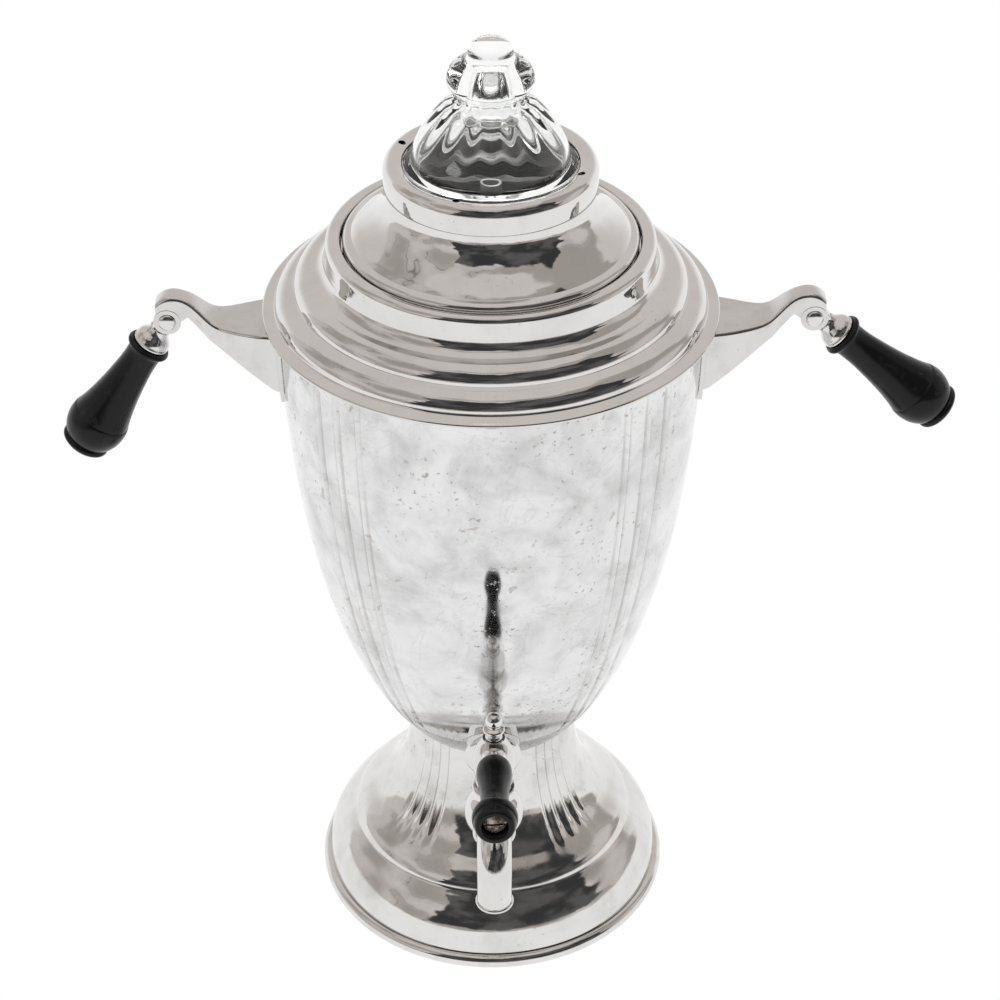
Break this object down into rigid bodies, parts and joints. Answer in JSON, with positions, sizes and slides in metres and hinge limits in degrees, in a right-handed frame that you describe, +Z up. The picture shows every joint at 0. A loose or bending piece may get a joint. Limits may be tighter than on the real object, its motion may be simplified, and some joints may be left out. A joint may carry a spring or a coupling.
{
  "type": "electric coffee urn",
  "caption": "Footed chrome percolator urn with a front tap, hinged side handles with turned black grips, and a lift-off lid with a fluted glass top.",
  "frame": {"origin": "on the urn's axis, at the surface that it stands on: the middle of the bottom plate's flat land", "axes": "+Z up along the axis of the urn, the tap points to -Y, the side handles to +X and -X, the mains inlet faces +Y"},
  "size_m": [0.3534, 0.228, 0.3955],
  "materials": {
    "chrome": "polished chrome plate, a little hazed and pitted with age",
    "plain_steel": "plain plated steel",
    "aluminium": "satin spun aluminium",
    "brass": "turned brass",
    "black_grip": "turned black, worn semi-gloss",
    "clear_glass": "clear pressed glass with fluted sides",
    "porcelain": "glazed off-white insulator",
    "mica": "mica-wrapped heating element",
    "braid": "braided heat-proof sleeve"
  },
  "bodies": {
    "body": {"foot_shell": "chrome", "foot_ring": "chrome", "bottom_plate": "plain_steel", "bottom_screw_1": "plain_steel", "bottom_screw_2": "plain_steel", "bottom_screw_3": "plain_steel", "tank": "chrome", "shoulder": "chrome", "bracket_left": "chrome", "bracket_right": "chrome", "hinge_pin_left": "chrome", "hinge_pin_right": "chrome", "tap_flange": "chrome", "tap_saddle_washer": "aluminium", "tap_nut": "brass", "tap_body": "chrome", "tap_spout": "chrome", "heater_element": "mica", "heater_clamp": "plain_steel", "heater_stud": "plain_steel", "heater_nut": "brass", "thermal_cutout": "porcelain", "inlet_shroud": "plain_steel", "inlet_block": "porcelain", "inlet_pin_left": "brass", "inlet_pin_right": "brass", "lead_left": "braid", "lead_right": "braid"},
    "lid": {"lid_shell": "chrome", "lid_ring": "chrome"},
    "glass": {"glass_top": "clear_glass"},
    "pump": {"pump_tube": "aluminium", "pump_bell": "aluminium", "basket": "aluminium"},
    "spreader": {"spreader": "aluminium"},
    "left_handle": {"ferrule_left": "chrome", "grip_left": "black_grip", "grip_stud_left": "plain_steel"},
    "right_handle": {"ferrule_right": "chrome", "grip_right": "black_grip", "grip_stud_right": "plain_steel"},
    "tap_key": {"tap_plug": "chrome", "tap_finial": "chrome", "lever_grip": "black_grip", "lever_screw": "plain_steel", "plug_washer": "brass", "plug_nut": "brass"}
  },
  "joints": [
    {"name": "lid_lift", "type": "slide", "parent": "body", "child": "lid", "axis": [0, 0, 1], "range_m": [0, 0.32]},
    {"name": "glass_lift", "type": "slide", "parent": "lid", "child": "glass", "axis": [0, 0, 1], "range_m": [0, 0.06]},
    {"name": "pump_lift", "type": "slide", "parent": "body", "child": "pump", "axis": [0, 0, 1], "range_m": [0, 0.256]},
    {"name": "spreader_lift", "type": "slide", "parent": "pump", "child": "spreader", "axis": [0, 0, 1], "range_m": [0, 0.02]},
    {"name": "left_handle_swing", "type": "hinge", "parent": "body", "child": "left_handle", "pos_m": [-0.1247, 0, 0.2795], "axis": [0, -1, 0], "range_deg": [-22, 38]},
    {"name": "right_handle_swing", "type": "hinge", "parent": "body", "child": "right_handle", "pos_m": [0.1247, 0, 0.2795], "axis": [0, 1, 0], "range_deg": [-5, 55]},
    {"name": "tap_turn", "type": "hinge", "parent": "body", "child": "tap_key", "pos_m": [0, -0.0875, 0.102], "axis": [0, 0, 1], "range_deg": [-90, 90]}
  ],
  "couplings": [
    {"joint": "pump_lift", "follows": "lid_lift", "ratio": 0.8}
  ]
}
